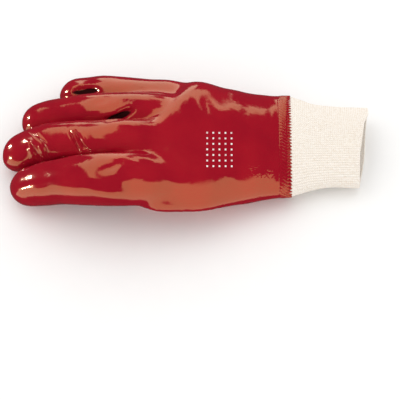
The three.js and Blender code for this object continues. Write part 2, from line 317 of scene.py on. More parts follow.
def digit_rings(digit, inset):
    """A digit's cross-sections, square to its path, and closing over its rounded tip."""
    along, side, rise, wide, deep = smooth_rows(digit["sections"], DIGIT_STEPS).T
    half_depth = deep * digit["depth"] / 2
    path = np.stack([-along * digit["reach"], side * KNUCKLE_WIDTH,
                     half_depth - REST_CUT + rise * KNUCKLE_HEIGHT], axis=1)
    half_width = wide * digit["width"] / 2
    gone = np.append(0, np.cumsum(np.linalg.norm(np.diff(path, axis=0), axis=1)))
    length = gone[-1]
    tip_length = (half_width[-1] - inset) * TIP_STRETCH
    body_end = length - inset - tip_length
    marks = [(s, 1.0) for s in np.linspace(0, body_end, DIGIT_STEPS)]
    for angle in np.linspace(0, TIP_END, TIP_STEPS)[1:]:
        marks.append((body_end + math.sin(angle) * tip_length, math.cos(angle)))
    turn = np.arange(DIGIT_SIDES) / DIGIT_SIDES * 2 * math.pi
    c = np.sign(np.cos(turn)) * np.abs(np.cos(turn)) ** (2 / SQUARE)
    s_up = np.sign(np.sin(turn)) * np.abs(np.sin(turn)) ** (2 / SQUARE)
    roll = math.radians(digit["roll"])
    flatten = FLATTEN * (digit["roll"] > ROLLED)
    rings = []
    for s, scale in marks:
        centre = np.array([np.interp(s, gone, path[:, i]) for i in range(3)])
        ahead = np.array([np.interp(min(s + AHEAD, length), gone, path[:, i])
                          - np.interp(s - AHEAD, gone, path[:, i]) for i in range(3)])
        ahead /= np.linalg.norm(ahead)
        side_way = np.cross([0, 0, 1], ahead)
        side_way /= np.linalg.norm(side_way)
        up_way = np.cross(ahead, side_way)
        crease = sum(math.exp(-((s - share * length) / (CREASE_WIDTH / 2)) ** 2)
                     for share in digit["creases"]) * CREASE_DEPTH
        w = (np.interp(s, gone, half_width) - inset) * scale - crease * CREASE_SIDES
        d = (np.interp(s, gone, half_depth) - inset) * scale - crease
        wide, deep = c * w * (1 + flatten), s_up * d * (1 - flatten)
        rings.append(centre + np.outer(wide * math.cos(roll) - deep * math.sin(roll), side_way)
                     + np.outer(wide * math.sin(roll) + deep * math.cos(roll), up_way))
    return np.array(rings)


for name, digit in DIGITS.items():
    print(name, "box, mm:", np.round(np.ptp(digit_rings(digit, 0).reshape(-1, 3), axis=0), 1))

# %% [markdown]
# ## A skin over the sections
#
# Four-sided faces join each section to the next. Fingers are closed with a fan at both ends. A
# tube with a wall, such as the hem or the knit, closes on itself: its last section joins its
# first.

# %% Skin
def skin(rings, loop=False):
    """Points and faces over rings. A loop's last ring joins its first, and other ends close."""
    count, sides = rings.shape[:2]
    points = rings.reshape(-1, 3)
    faces = []
    for r in range(count if loop else count - 1):
        here, there = r * sides, (r + 1) % count * sides
        for i in range(sides):
            j = (i + 1) % sides
            faces.append((here + i, here + j, there + j, there + i))
    if not loop:
        for ring, order in ((0, -1), (count - 1, 1)):
            hub = len(points)
            points = np.vstack([points, rings[ring].mean(axis=0)])
            for i in range(sides):
                a, b = ring * sides + i, ring * sides + (i + 1) % sides
                faces.append((hub, a, b) if order > 0 else (hub, b, a))
    return points, faces


print("palm's skin:", len(skin(palm_rings(0))[1]), "faces")

# %% [markdown]
# ## One skin for palm and fingers
#
# Dipping makes one skin of everything, with soft valleys between the fingers. Six lofts that run
# into each other can be fused by a voxel remesh: it fills space with small cubes and wraps
# the outside. Narrow gaps would be lost in it, so the lofts start a little too thin, and the skin
# is pushed out again afterwards. Relaxing takes the traces of the cubes away.

# %% Fusing and relaxing
OUTER_VOXEL = 1.2  # mm
LINING_VOXEL = 2.8
THIN = 0.9  # mm taken off before fusing and given back after
FIRST_ROUNDS = 14  # of relaxing, to lose the cubes' steps


def new_object(name, points, faces):
    mesh = bpy.data.meshes.new(name)
    mesh.from_pydata(np.asarray(points).tolist(), [], faces)
    mesh.update()
    thing = bpy.data.objects.new(name, mesh)
    bpy.context.scene.collection.objects.link(thing)
    return thing


def fused_hand(inset, voxel):
    """Palm and digits as one skin: points in mm, and faces."""
    lofts = [skin(palm_rings(inset))]
    lofts += [skin(digit_rings(digit, inset)) for digit in DIGITS.values()]
    points, faces = [], []
    for loft_points, loft_faces in lofts:
        start = sum(len(p) for p in points)
        points.append(loft_points)
        faces += [tuple(start + i for i in face) for face in loft_faces]
    rough = new_object("rough", np.vstack(points), faces)
    remesh = rough.modifiers.new("fuse", "REMESH")
    remesh.mode = "VOXEL"
    remesh.voxel_size = voxel
    depsgraph = bpy.context.evaluated_depsgraph_get()
    fused = bpy.data.meshes.new_from_object(rough.evaluated_get(depsgraph))
    co = np.zeros(len(fused.vertices) * 3)
    fused.vertices.foreach_get("co", co)
    fused_faces = np.array([tuple(p.vertices) for p in fused.polygons])
    bpy.data.objects.remove(rough)
    bpy.data.meshes.remove(fused)
    return co.reshape(-1, 3), fused_faces


def edges_of(faces):
    """Each edge of four-sided faces once, as a pair of points."""
    pairs = np.vstack([faces[:, [i, (i + 1) % 4]] for i in range(4)])
    return np.unique(np.sort(pairs, axis=1), axis=0)


def relax(points, edges, rounds, weight=1.0):
    """Moves each point half way to the middle of its neighbours, again and again."""
    count = np.bincount(edges.ravel(), minlength=len(points))[:, None]
    for _ in range(rounds):
        total = np.zeros_like(points)
        for axis in range(3):
            total[:, axis] = (np.bincount(edges[:, 0], points[edges[:, 1], axis], len(points))
                              + np.bincount(edges[:, 1], points[edges[:, 0], axis], len(points)))
        points = points + (total / count - points) * 0.5 * weight
    return points


def normals_of(points, faces):
    """The normal at each point, from the diagonals of the faces round it."""
    a, b, c, d = (points[faces[:, i]] for i in range(4))
    face_normals = np.cross(c - a, d - b)
    normals = np.zeros_like(points)
    for corner in range(4):
        for axis in range(3):
            normals[:, axis] += np.bincount(faces[:, corner], face_normals[:, axis], len(points))
    return normals / np.maximum(np.linalg.norm(normals, axis=1, keepdims=True), 1e-12)


hand_points, hand_faces = fused_hand(THIN, OUTER_VOXEL)
hand_edges = edges_of(hand_faces)
hand_points = relax(hand_points, hand_edges, FIRST_ROUNDS)
print("fused skin:", len(hand_points), "points")

# %% [markdown]
# ## Melting the knuckles
#
# The back runs into the fingers without a step. More relaxing there melts the valleys that the
# lofts left at the knuckles. It fades out towards the wrist and the fingertips, and it works on
# the upper side only. Then the skin is pushed out again to its full thickness.

# %% Relaxing the knuckles
KNUCKLE_ZONE = (-135, -112, -80, -55)  # mm from the wrist line: fades in, full, full, fades out
KNUCKLE_ROUNDS = 60
EVEN_ROUNDS = 4
UPPER_SIDE = (-0.3, 0.3)  # the normal's rise where the work fades in
PUSH_BACK = 0.35  # mm that relaxing took off the round forms

zone = (smoothstep(hand_points[:, 0], KNUCKLE_ZONE[0], KNUCKLE_ZONE[1])
        * (1 - smoothstep(hand_points[:, 0], KNUCKLE_ZONE[2], KNUCKLE_ZONE[3])))
above = smoothstep(normals_of(hand_points, hand_faces)[:, 2], *UPPER_SIDE)
hand_points = relax(hand_points, hand_edges, KNUCKLE_ROUNDS, (zone * above)[:, None])
hand_points = relax(hand_points, hand_edges, EVEN_ROUNDS)
hand_points += normals_of(hand_points, hand_faces) * (THIN + PUSH_BACK)
print("points melted:", int((zone * above > 0.5).sum()))

# %% [markdown]
# ## Placing it in the frame
#
# The lofts are laid out from the wrist line. The frame's own box says where that line is, so the
# whole layout moves there in one step.

# %% From the layout to the frame
wrist_x = hand_high.x / MM
side_shift = hand_high.y / MM - digit_rings(DIGITS["little"], 0)[..., 1].max()
print("wrist line at", round(wrist_x, 2), "side shift", round(side_shift, 2))


def to_frame(points):
    """Layout points in mm to the frame in metres."""
    return (np.asarray(points) + [wrist_x, side_shift, 0]) * MM


# %% [markdown]
# ## Lumps
#
# Wet-looking PVC shows every unevenness in its reflections. The broad lumps are left by the dip,
# where the liquid ran and set. They are a sum of slow waves in chosen directions, the same on
# every run.

# %% Lumps
LUMP_HEIGHT = 0.24  # mm
LUMP_LENGTHS = (20, 42)  # mm, the shortest and longest wave
LUMP_WAVES = 16
LUMP_SEED = 11


def lumps(points):
    """A slow, even unevenness between about -1 and 1."""
    chance = np.random.default_rng(LUMP_SEED)
    total = np.zeros(len(points))
    for _ in range(LUMP_WAVES):
        direction = chance.normal(size=3)
        direction /= np.linalg.norm(direction)
        length = chance.uniform(*LUMP_LENGTHS)
        total += np.sin(points @ direction * 2 * math.pi / length + chance.uniform(0, 2 * math.pi))
    return total / math.sqrt(LUMP_WAVES / 2)


print("lumps, mm:", round(float(np.ptp(lumps(hand_points))) * LUMP_HEIGHT, 2), "from low to high")

# %% [markdown]
# ## Folds and wrinkles
#
# Two more kinds of relief sit on the lumps: soft folds and valleys where the fingers meet the
# back, and a crumple of sharp wrinkles at two joints of the middle finger. Each is a list of
# strokes. A stroke is drawn between two pixels of the picture, because that is where it was seen,
# and it presses the skin in along its normal, most in its middle.

# %% Strokes
# Ends in the picture's pixels: right and down of the first, right and down of the second.
# Then the half width in mm and the depth in mm, outwards if below 0.
BROAD_STROKES = [
    # index finger's knuckle
    (127, 162, 128, 186, 12, -1.7),
    (104, 172, 124, 166, 2.6, 0.9),
    (124, 174, 148, 165, 2.6, 0.9),
    (127, 160, 148, 170, 2.2, -0.8),
    (108, 163, 124, 160, 2.6, -0.5),
    # valley between the middle and index fingers
    (34, 168, 62, 156, 3.5, -1.2),
    (62, 156, 112, 151, 3.5, -2.0),
    # ring finger's fold, and the gap below it
    (92, 105, 112, 100, 3.0, 0.7),
    (98, 117, 117, 113, 1.8, -0.8),
    (117, 113, 134, 105, 1.8, -0.8),
    (108, 121, 124, 117, 1.7, 3.6),
    (120, 118, 132, 111, 2.3, 5.0),
    # gap between the ring and little fingers, with a rim over it
    (73, 90, 82, 87.5, 1.7, 3.0),
    (80, 88.5, 96, 88.5, 1.9, 3.6),
    (70, 88, 78, 84, 1.6, -0.7),
    (78, 84, 106, 87.5, 1.6, -0.7),
    # where the index finger's root meets the palm
    (122, 204, 150, 207, 6.0, -1.2),
    # far edge of the back
    (204, 96, 212, 118, 4.5, 0.8),
]
STROKE_ENDS = 0.45  # how much of its depth a stroke still has at its ends
STROKE_FACING = (0.05, 0.4)  # how squarely the skin faces the camera where strokes fade in
FINE_STROKES = [
    # crumple at the middle finger's last joint
    (31, 132, 46, 144, 1.0, 1.25),
    (45, 142, 51, 160, 1.0, 1.25),
    (32, 143, 37, 153, 1.0, 1.25),
    (36, 151, 42, 161, 1.0, 1.25),
    (38, 134, 49, 146, 1.2, -0.6),
    (29, 142, 35, 160, 1.3, -0.6),
    (41, 146, 46, 158, 1.0, -0.4),
    # crumple at the middle finger's middle joint
    (72, 133, 77, 143, 1.0, 1.25),
    (76, 141, 82, 153, 1.0, 1.25),
    (77, 132, 82, 142, 1.0, 1.25),
    (81, 140, 86, 149, 1.0, 1.25),
    (85, 147, 93, 153, 0.9, 0.9),
    (74, 132, 84, 152, 0.9, -0.5),
    (83, 134, 90, 146, 1.3, -0.5),
]


def strokes(table, points, normals):
    """How deep a table's strokes press each point, in mm. Points are in metres."""
    right, down = photo_pixels(points)
    facing = smoothstep(normals @ np.array(toward_camera), *STROKE_FACING)
    depth = np.zeros(len(points))
    for x1, y1, x2, y2, half_width, deep in table:
        ahead = np.array([x2 - x1, y2 - y1], float)
        length = np.linalg.norm(ahead)
        share = ((right - x1) * ahead[0] + (down - y1) * ahead[1]) / length**2
        near = np.clip(share, 0, 1)
        away = np.hypot(right - x1 - near * ahead[0], down - y1 - near * ahead[1]) * MM_PER_PIXEL
        fade = STROKE_ENDS + (1 - STROKE_ENDS) * np.sin(math.pi * near)
        depth += deep * fade * np.exp(-(away / half_width) ** 2)
    return depth * facing


print("strokes:", len(BROAD_STROKES), "broad,", len(FINE_STROKES), "fine")

# %% [markdown]
# ## Pressing the relief in
#
# Lumps and broad strokes move the skin along its normal. Near the hem the knit holds the coat
# round, so the lumps fade out there. Nothing goes below the table.

# %% Relief
CALM_AT_HEM = (-26, -9)  # mm from the wrist line: the lumps fade out between these
SOFTEN_ROUNDS = 2

normals = normals_of(hand_points, hand_faces)
calm = 1 - smoothstep(hand_points[:, 0], *CALM_AT_HEM)
relief = lumps(hand_points) * LUMP_HEIGHT * calm
relief -= strokes(BROAD_STROKES, to_frame(hand_points), normals)
hand_points = hand_points + normals * relief[:, None]
hand_points = relax(hand_points, hand_edges, SOFTEN_ROUNDS)
hand_points[:, 2] = np.maximum(hand_points[:, 2], 0)
print("relief, mm:", round(relief.min(), 2), "to", round(relief.max(), 2))

# %% [markdown]
# ## Meeting the hem
#
# Relaxing let the skin shrink a little, and the hem is built on the true sections. So the last
# stretch of the skin is moved back onto them: each point keeps its turn round the wrist and takes
# the section's radius.

# %% Skin at the hem
TRUE_AT_HEM = (-20, -12)  # mm from the wrist line: from there on the skin keeps to the sections

x, y, z = hand_points.T
row = palm_row(-x / PALM_LENGTH)
middle_y, middle_z = row[2] * WRIST_OFFSET, mix(WRIST_DEPTH / 2, KNUCKLE_HEIGHT, row[3])
half_width = mix(WRIST_WIDTH, KNUCKLE_WIDTH, row[1]) / 2
reach = np.where(z > middle_z, row[4] * BACK_RISE, (row[5] + row[6]) / 2 * PALM_DROP)
turn = np.arctan2((z - middle_z) / reach, (y - middle_y) / half_width) / (2 * math.pi) % 1
true_skin = palm_ring(row, 0, turn)
true_skin[:, 0] = x
true_skin[:, 2] = np.maximum(true_skin[:, 2], 0)
keep = smoothstep(x, *TRUE_AT_HEM)[:, None]
hand_points = mix(hand_points, true_skin, keep)
print("moved to the sections at the hem, mm:",
      round(float(np.abs((hand_points - np.stack([x, y, z], axis=1)) * keep).max()), 2))

# %% [markdown]
# ## The ribbed hem
#
# The dip line crosses the ribbed knit, so the coat's last centimetre shows the ribs through and
# ends in a saw-tooth: each rib carries the red a little further than the valley beside it. It is
# a ring of closed sections: out along the outside, round the edge and back along the bore.

# %% Hem
HEM_LENGTH = 9  # mm
HEM_RIBS = 74
RIB_DEPTH = 0.55  # mm
COAT_OVER_KNIT = 0.4  # mm that the coat reaches into the knit
SAMPLES_PER_RIB = 8
RIB_LEAN = 2.2  # ribs that the hem's ribs drift round over its length
LEAN_END = -2.5  # mm from the wrist line: the teeth beyond stand straight
TOOTH = 2.8  # mm from the tip of a tooth to the notch beside it
TOOTH_ZONE = (-4.5, -0.4)  # mm from the wrist line where the teeth part
OVAL_STEPS = 2000  # steps that measure an oval's edge
# Sections of the hem: x from the wrist line, rise over the hand's skin, share of the ribs' depth.
# They go out along the outside, round the edge, and back inside.
HEM_SECTIONS = [
    (-10.6, -0.6, 0), (-9.4, -0.02, 0), (-8.9, 0.05, 0.1), (-8.2, 0.16, 0.4),
    (-7.4, 0.3, 0.8), (-6.4, 0.38, 1), (-5.2, 0.42, 1), (-4.0, 0.42, 1), (-2.8, 0.42, 1),
    (-1.6, 0.42, 1), (-0.6, 0.4, 1), (0.0, 0.3, 0.8), (0.25, 0.1, 0.5), (0.1, -0.3, 0),
    (-3.5, -COAT_OVER_KNIT, 0), (-6.5, -COAT_OVER_KNIT, 0), (-10.6, -COAT_OVER_KNIT, 0),
]


def even_turns(half_width, half_depth, count, start=0.0):
    """Angles at equal steps along an oval's edge."""
    fine = np.linspace(0, 2 * math.pi, OVAL_STEPS)
    step = np.hypot(half_width * np.sin(fine), half_depth * np.cos(fine))
    gone = np.append(0, np.cumsum((step[1:] + step[:-1]) / 2))
    gone /= gone[-1]
    return np.interp((np.arange(count) + start) / count % 1, gone, fine)


def hem_rings():
    """The hem's closed sections, ribbed outside and saw-toothed at the edge."""
    count = HEM_RIBS * SAMPLES_PER_RIB
    crest = np.abs(np.cos(math.pi * np.arange(count) / SAMPLES_PER_RIB))
    valley = 1 - crest**0.8
    rings = []
    for x, rise, share in HEM_SECTIONS:
        outside = rise > -COAT_OVER_KNIT
        lean = (min(x, LEAN_END) + HEM_LENGTH) / HEM_LENGTH * RIB_LEAN
        drift = lean * SAMPLES_PER_RIB * outside
        turns = even_turns(WRIST_WIDTH / 2, WRIST_DEPTH / 2, count, drift) / (2 * math.pi)
        dent = RIB_DEPTH * share * valley - rise
        ring = palm_ring(palm_row(max(-x, 0) / PALM_LENGTH), dent, turns)
        ring[:, 0] = x - TOOTH * valley**0.6 * smoothstep(x, *TOOTH_ZONE) * outside
        rings.append(ring)
    return np.array(rings)


hem_points, hem_faces = skin(hem_rings(), loop=True)
hem_points[:, 2] = np.maximum(hem_points[:, 2], 0)
print("hem:", len(hem_points), "points")

# %% [markdown]
# ## Cutting the skin open
#
# The skin is still closed at the wrist. A plane cuts it off under the hem, which hides the cut.

# %% Cutting
CUT_AT = -9.3  # mm from the wrist line


def cut_open(points, faces, inside_out=False):
    """A bmesh of the skin in the layout, open at the wrist."""
    shape = bmesh.new()
    verts = [shape.verts.new(p) for p in points]
    for face in faces:
        shape.faces.new([verts[i] for i in face])
    everything = shape.verts[:] + shape.edges[:] + shape.faces[:]
    bmesh.ops.bisect_plane(shape, geom=everything, plane_co=(CUT_AT, 0, 0), plane_no=(1, 0, 0),
                           clear_outer=True)
    if inside_out:
        bmesh.ops.reverse_faces(shape, faces=shape.faces[:])
    return shape


hand = cut_open(hand_points, hand_faces)
print("faces left of the closed skin:", len(hand.faces), "of", len(hand_faces))

# %% [markdown]
# ## Crumples
#
# Where a finger bends, stiff PVC buckles into ridges a millimetre wide. The skin's faces are too
# coarse for those, so the faces in two small boxes of the picture are cut finer and smoothed
# before the fine strokes go in.

# %% Crumpling
CRUMPLES = [(26, 126, 58, 166), (67, 127, 98, 158)]  # left, top, right, bottom, in pixels
CRUMPLE_CUTS = 2
CRUMPLE_FACING = 0.1  # how squarely the skin must face the camera
CRUMPLE_ROUNDS = 3  # of smoothing


def crumpled(shape):
    """The skin's points in a crumple, with their places and normals, where they face the camera."""
    verts = list(shape.verts)
    places = np.array([v.co for v in verts])
    normals = np.array([v.normal for v in verts])
    right, down = photo_pixels(to_frame(places))
    inside = np.zeros(len(verts), bool)
    for left, top, far, bottom in CRUMPLES:
        inside |= (right > left) & (right < far) & (down > top) & (down < bottom)
    inside &= normals @ np.array(toward_camera) > CRUMPLE_FACING
    chosen = np.flatnonzero(inside)
    return [verts[i] for i in chosen], places[chosen], normals[chosen]


def crumple(shape):
    """Finer faces in the crumples, and the sharp wrinkles pressed into them."""
    shape.normal_update()
    chosen = set(crumpled(shape)[0])
    edges = [edge for edge in shape.edges if chosen.issuperset(edge.verts)]
    bmesh.ops.subdivide_edges(shape, edges=edges, cuts=CRUMPLE_CUTS, use_grid_fill=True)
    shape.normal_update()
    verts = crumpled(shape)[0]
    for _ in range(CRUMPLE_ROUNDS):
        bmesh.ops.smooth_vert(shape, verts=verts, factor=0.5,
                              use_axis_x=True, use_axis_y=True, use_axis_z=True)
    shape.normal_update()
    verts, places, normals = crumpled(shape)
    depth = strokes(FINE_STROKES, to_frame(places), normals)
    for vert, place in zip(verts, places - normals * depth[:, None]):
        vert.co = place
    print("crumples:", len(verts), "points")


crumple(hand)

# %% [markdown]
# ## The coated hand as one piece
#
# The inside is the same form, one wall thinner and with coarser cells, turned inside out. A strip
# of faces joins the two cut edges, so the shell is closed, with a real hollow for a hand. The hem
# is a closed ring of its own over the cut.

# %% Lining and joining
LINING_ROUNDS = 3

lining_points, lining_faces = fused_hand(WALL, LINING_VOXEL)
lining_points = relax(lining_points, edges_of(lining_faces), LINING_ROUNDS)
lining_points[:, 2] = np.maximum(lining_points[:, 2], WALL)
lining = cut_open(lining_points, lining_faces, inside_out=True)
lining_mesh = bpy.data.meshes.new("lining")
lining.to_mesh(lining_mesh)
lining.free()
hand.from_mesh(lining_mesh)
open_edges = [edge for edge in hand.edges if edge.is_boundary]
bmesh.ops.bridge_loops(hand, edges=open_edges)
hem_verts = [hand.verts.new(p) for p in hem_points]
for face in hem_faces:
    hand.faces.new([hem_verts[i] for i in face])
for vert in hand.verts:
    vert.co = to_frame(vert.co)
coat_mesh = bpy.data.meshes.new("coated_hand")
hand.to_mesh(coat_mesh)
hand.free()
coat_mesh.shade_smooth()
coated_hand = bpy.data.objects.new("coated_hand", coat_mesh)
bpy.context.scene.collection.objects.link(coated_hand)
print("coated hand:", sum(len(p.vertices) - 2 for p in coat_mesh.polygons), "triangles")

# %% [markdown]
# ## The knit wrist
#
# A rib knit: columns of stitches stand proud with valleys between, so the tube stretches over
# the hand and pulls in round the wrist. Ribs this size show in the outline, so they are in the
# mesh. The single stitches are too small for that and go into the material, which needs to know
# where a point is on the knit. That is stored as a UV map: ribs round, millimetres along.

# %% Sizes of the knit wrist
# All in mm.
CUFF_LENGTH = 54
MOUTH_WIDTH = 69
MOUTH_DEPTH = 30
MOUTH_SLANT = 8.5  # that the little finger's side of the mouth lies further out
MOUTH_LEAN = 0.6  # that the lower side of the mouth lies further out
# The upper lip's wave: places across the mouth from -1 to 1, and mm that it reaches out.
UPPER_LIP = ([-1, -0.7, -0.35, 0.1, 0.4, 0.7, 1], [0, -1.0, -1.9, -1.3, -1.2, 1.1, 0])
LOWER_LIP = 1.3  # mm that the lower lip reaches out in the middle
SIDE_FOLD = 1.3  # mm deep, along the near side
SIDE_FOLD_AT = math.pi * 1.06  # its turn round the wrist
WAVE_DEPTH = 0.4  # mm, a slow unevenness of the tube
MOUTH_OFFSET = 11
KNIT_WALL = 2
KNIT_GAP = 0.25  # mm between the knit's root and the coat round it
KNIT_RIBS = 88
KNIT_SAMPLES = 6  # points round each rib
KNIT_RIB_DEPTH = 0.6
KNIT_STEPS = 44
KNIT_ROOT = 0.6 - HEM_LENGTH  # mm from the wrist line
INNER_EVERY = 4  # the inside has one section for so many of the outside
RIM_ANGLES = (30, 60, 90, 120, 150)  # degrees over the mouth's edge
# Sections of the knit: along as a share of its length, narrow from 0 at the hem to 1 at the mouth.
KNIT_SECTIONS = [[0.0, 0.0], [0.14, 0.33], [0.32, 0.74], [0.6, 1.0], [1.0, 1.0]]
print("ribs of the knit, mm wide:", round(math.pi * (MOUTH_WIDTH + MOUTH_DEPTH) / 2 / KNIT_RIBS, 2))

# %% [markdown]
# ## One section of the knit
#
# A section is an oval with a rib round every few points. Its edge at the mouth isn't straight:
# the lips of a worn knit wave, and a fold runs in from the near side. The same function gives the
# outside, the edge and the inside, which differ only in how far they are inset.

# %% Knit sections
def wrist_ring(x, side, half_width, half_depth, height, inset, turns):
    """An oval of the wrist. inset pulls each point in by so many mm."""
    return np.stack([x + np.zeros_like(turns), side + np.cos(turns) * (half_width - inset),
                     height + np.sin(turns) * (half_depth - inset)], axis=1)


def lips(turns):
    """How far the mouth's edge reaches out at each turn, in mm."""
    across, up = np.cos(turns), np.sin(turns)
    lower = LOWER_LIP * np.exp(-(((across + 0.1) / 0.5) ** 2))
    return np.where(up > 0, np.interp(across, *UPPER_LIP), lower) * smoothstep(abs(up), 0, 0.45)


def knit_ring(along, narrow, inset, rib_share, x=None):
    """A section at a share of the knit's length, or at x mm from the wrist line."""
    count = KNIT_RIBS * KNIT_SAMPLES
    half_width = mix(WRIST_WIDTH / 2 - KNIT_GAP, MOUTH_WIDTH / 2, narrow)
    half_depth = mix(WRIST_DEPTH / 2 - KNIT_GAP, MOUTH_DEPTH / 2, narrow)
    turns = even_turns(half_width, half_depth, count)
    valley = 1 - np.abs(np.cos(math.pi * np.arange(count) / KNIT_SAMPLES)) ** 0.9
    fold = np.exp(-(((turns - SIDE_FOLD_AT) / 0.1) ** 2)) * smoothstep(along, 0.45, 0.75)
    wave = WAVE_DEPTH * np.sin(turns * 3 + along * 7) * smoothstep(along, 0.1, 0.4)
    pulled = KNIT_RIB_DEPTH * rib_share * valley + SIDE_FOLD * fold + wave + inset
    out = along * (MOUTH_SLANT * np.cos(turns) - MOUTH_LEAN * np.sin(turns)) / 2
    out += along**4 * lips(turns)
    return wrist_ring(
        (along * CUFF_LENGTH if x is None else x) + out, mix(WRIST_OFFSET, MOUTH_OFFSET, narrow),
        half_width, half_depth, mix(WRIST_DEPTH / 2, MOUTH_DEPTH / 2 - REST_CUT, narrow),
        pulled, turns)


print("points round a section:", len(knit_ring(0, 0, 0, 1)))

# %% [markdown]
# ## The knit tube
#
# From the root under the hem out along the outside, over the rounded edge of the mouth, and back
# along the inside with fewer sections. It closes on itself under the hem.

# %% Knit tube
KNIT_FLOOR = 0.4  # mm over the table where the coat's wall is under the knit
TABLE_GAP = 0.02  # mm over the table elsewhere
HEM_END = 0.5  # mm from the wrist line
WIDEST = 1.02  # the most that the smooth curve may pull the tube in

outside = [(along, min(narrow, WIDEST)) for along, narrow in smooth_rows(KNIT_SECTIONS, KNIT_STEPS)]
knit_rings = [knit_ring(0, 0, 0.3, 0.4, x=KNIT_ROOT)]
knit_rings += [knit_ring(along, narrow, 0, 1) for along, narrow in outside]
for angle in RIM_ANGLES:
    rim = math.radians(angle)
    push = (1 - math.cos(rim)) * KNIT_WALL / 2
    ring = knit_ring(1, 1, push, 1)
    ring[:, 0] += math.sin(rim) * KNIT_WALL / 2
    knit_rings.append(ring)
knit_rings += [knit_ring(along, narrow, KNIT_WALL, -0.6)
               for along, narrow in outside[::-INNER_EVERY]]
knit_rings.append(knit_ring(0, 0, KNIT_WALL, 0.4, x=KNIT_ROOT))
knit_rings = np.array(knit_rings)
lowest = np.where(knit_rings[..., 0] < HEM_END, KNIT_FLOOR, TABLE_GAP)
knit_rings[..., 2] = np.maximum(knit_rings[..., 2], lowest)

knit_points, knit_faces = skin(knit_rings, loop=True)
knit_wrist = new_object("knit_wrist", to_frame(knit_points), knit_faces)
knit_wrist.data.shade_smooth()
print("knit wrist:", 2 * len(knit_faces), "triangles")

# %% [markdown]
# ## Stitch coordinates
#
# The UV map counts ribs round the tube and stitches along it, so the finish can draw a V on each
# stitch wherever the tube bends or narrows.

# %% Stitch coordinates
STITCH_LENGTH = 1.5  # mm along the rib

knit_uv = knit_wrist.data.uv_layers.new(name="knit")
sides = KNIT_RIBS * KNIT_SAMPLES
ring_along = knit_rings.mean(axis=1)
ring_gone = np.append(0, np.cumsum(np.linalg.norm(np.diff(ring_along, axis=0), axis=1)))
ring_stitches = ring_gone / STITCH_LENGTH
for number, face in enumerate(knit_wrist.data.polygons):
    ring, side = divmod(number, sides)
    for corner, loop in enumerate(face.loop_indices):
        u = (side + (corner in (1, 2))) / KNIT_SAMPLES
        v = ring_stitches[min(ring + (corner in (2, 3)), len(ring_stitches) - 1)]
        knit_uv.data[loop].uv = (u, v)
print("stitches along the tube and back:", round(float(ring_stitches[-1])))

# %% [markdown]
# ## The printed dots
#
# A glove like this carries small white print on its back: a thin film of ink that lies on the
# coat and follows its lumps. A plain field of small dots stands in for it here. Each dot is
# dropped onto the skin from the camera's side and lifted by a hair.

# %% Dots
INK_LIFT = 0.09  # mm
DOT = 1.7  # pixels
DOT_COLUMNS = (207, 213, 219, 225, 231)
DOT_ROWS = (134, 139.5, 145, 150.5, 156, 161.5, 167)
hand_tree = BVHTree.FromPolygons([v.co for v in coat_mesh.vertices],
                                 [tuple(p.vertices) for p in coat_mesh.polygons])


def on_the_back(right, down):
    """A point just over the skin, under a pixel of the picture."""
    x = (right - PHOTO_SIDE / 2) * MM_PER_PIXEL * MM
    y = (PHOTO_SIDE / 2 - down) * MM_PER_PIXEL * MM
    start = VIEW_MIDDLE + Vector((x, 0, 0)) + view_up * y + toward_camera * 0.5
    place, normal, _, _ = hand_tree.ray_cast(start, -toward_camera)
    return tuple(place + normal * INK_LIFT * MM)


ink_points, ink_faces = [], []
for right in DOT_COLUMNS:
    for down in DOT_ROWS:
        first = len(ink_points)
        for across in (-DOT / 2, 0, DOT / 2):
            for along in (-DOT / 2, DOT / 2):
                ink_points.append(on_the_back(right + across, down + along))
        ink_faces += [(first, first + 1, first + 3, first + 2),
                      (first + 2, first + 3, first + 5, first + 4)]
back_print = new_object("back_print", ink_points, ink_faces)
print("dots:", len(DOT_COLUMNS) * len(DOT_ROWS))

# %% [markdown]
# ## Helpers for the finishes
#
# Every finish is a small net of nodes around one shader. The same few steps come back in all of
# them: noise at a place, a bump from a height, a ramp of colours, a range mapped onto another.
# So each step is a function.

# %% Helpers for materials
def node(tree, kind, **settings):
    made = tree.nodes.new(kind)
    for key, value in settings.items():
        if key in made.inputs:
            made.inputs[key].default_value = value
        else:
            setattr(made, key, value)
    return made


def link(tree, source, target):
    tree.links.new(source, target)


def material(name, **settings):
    """A material with one shader: the material, its nodes and the shader."""
    made = bpy.data.materials.new(name)
    made.use_nodes = True
    tree = made.node_tree
    tree.nodes.clear()
    shader = node(tree, "ShaderNodeBsdfPrincipled", **settings)
    out = node(tree, "ShaderNodeOutputMaterial")
    link(tree, shader.outputs["BSDF"], out.inputs["Surface"])
    return made, tree, shader


def coordinates(tree, kind="Object"):
    return node(tree, "ShaderNodeTexCoord").outputs[kind]


def noise(tree, where, **settings):
    """Noise between 0 and 1 at each place."""
    made = node(tree, "ShaderNodeTexNoise", **settings)
    link(tree, where, made.inputs["Vector"])
    return made.outputs["Fac"]


def ramp(tree, value, stops):
    """Colours at the stops, blended between them."""
    made = node(tree, "ShaderNodeValToRGB")
    elements = made.color_ramp.elements
    while len(elements) < len(stops):
        elements.new(0.5)
    for element, (at, colour) in zip(elements, stops):
        element.position = at
        element.color = (*colour, 1)
    link(tree, value, made.inputs["Fac"])
    return made.outputs["Color"]


def remap(tree, value, low, high, at_low, at_high, curve="LINEAR"):
    """at_low up to low, at_high from high on, and blended between them."""
    made = node(tree, "ShaderNodeMapRange", interpolation_type=curve,
                **{"From Min": low, "From Max": high, "To Min": at_low, "To Max": at_high})
    link(tree, value, made.inputs["Value"])
    return made.outputs["Result"]


def maths(tree, operation, a, b=0.0):
    """One sum. a and b are values or sockets."""
    made = node(tree, "ShaderNodeMath", operation=operation)
    for socket, value in zip(made.inputs, (a, b)):
        if isinstance(value, (int, float)):
            socket.default_value = value
        else:
            link(tree, value, socket)
    return made.outputs["Value"]


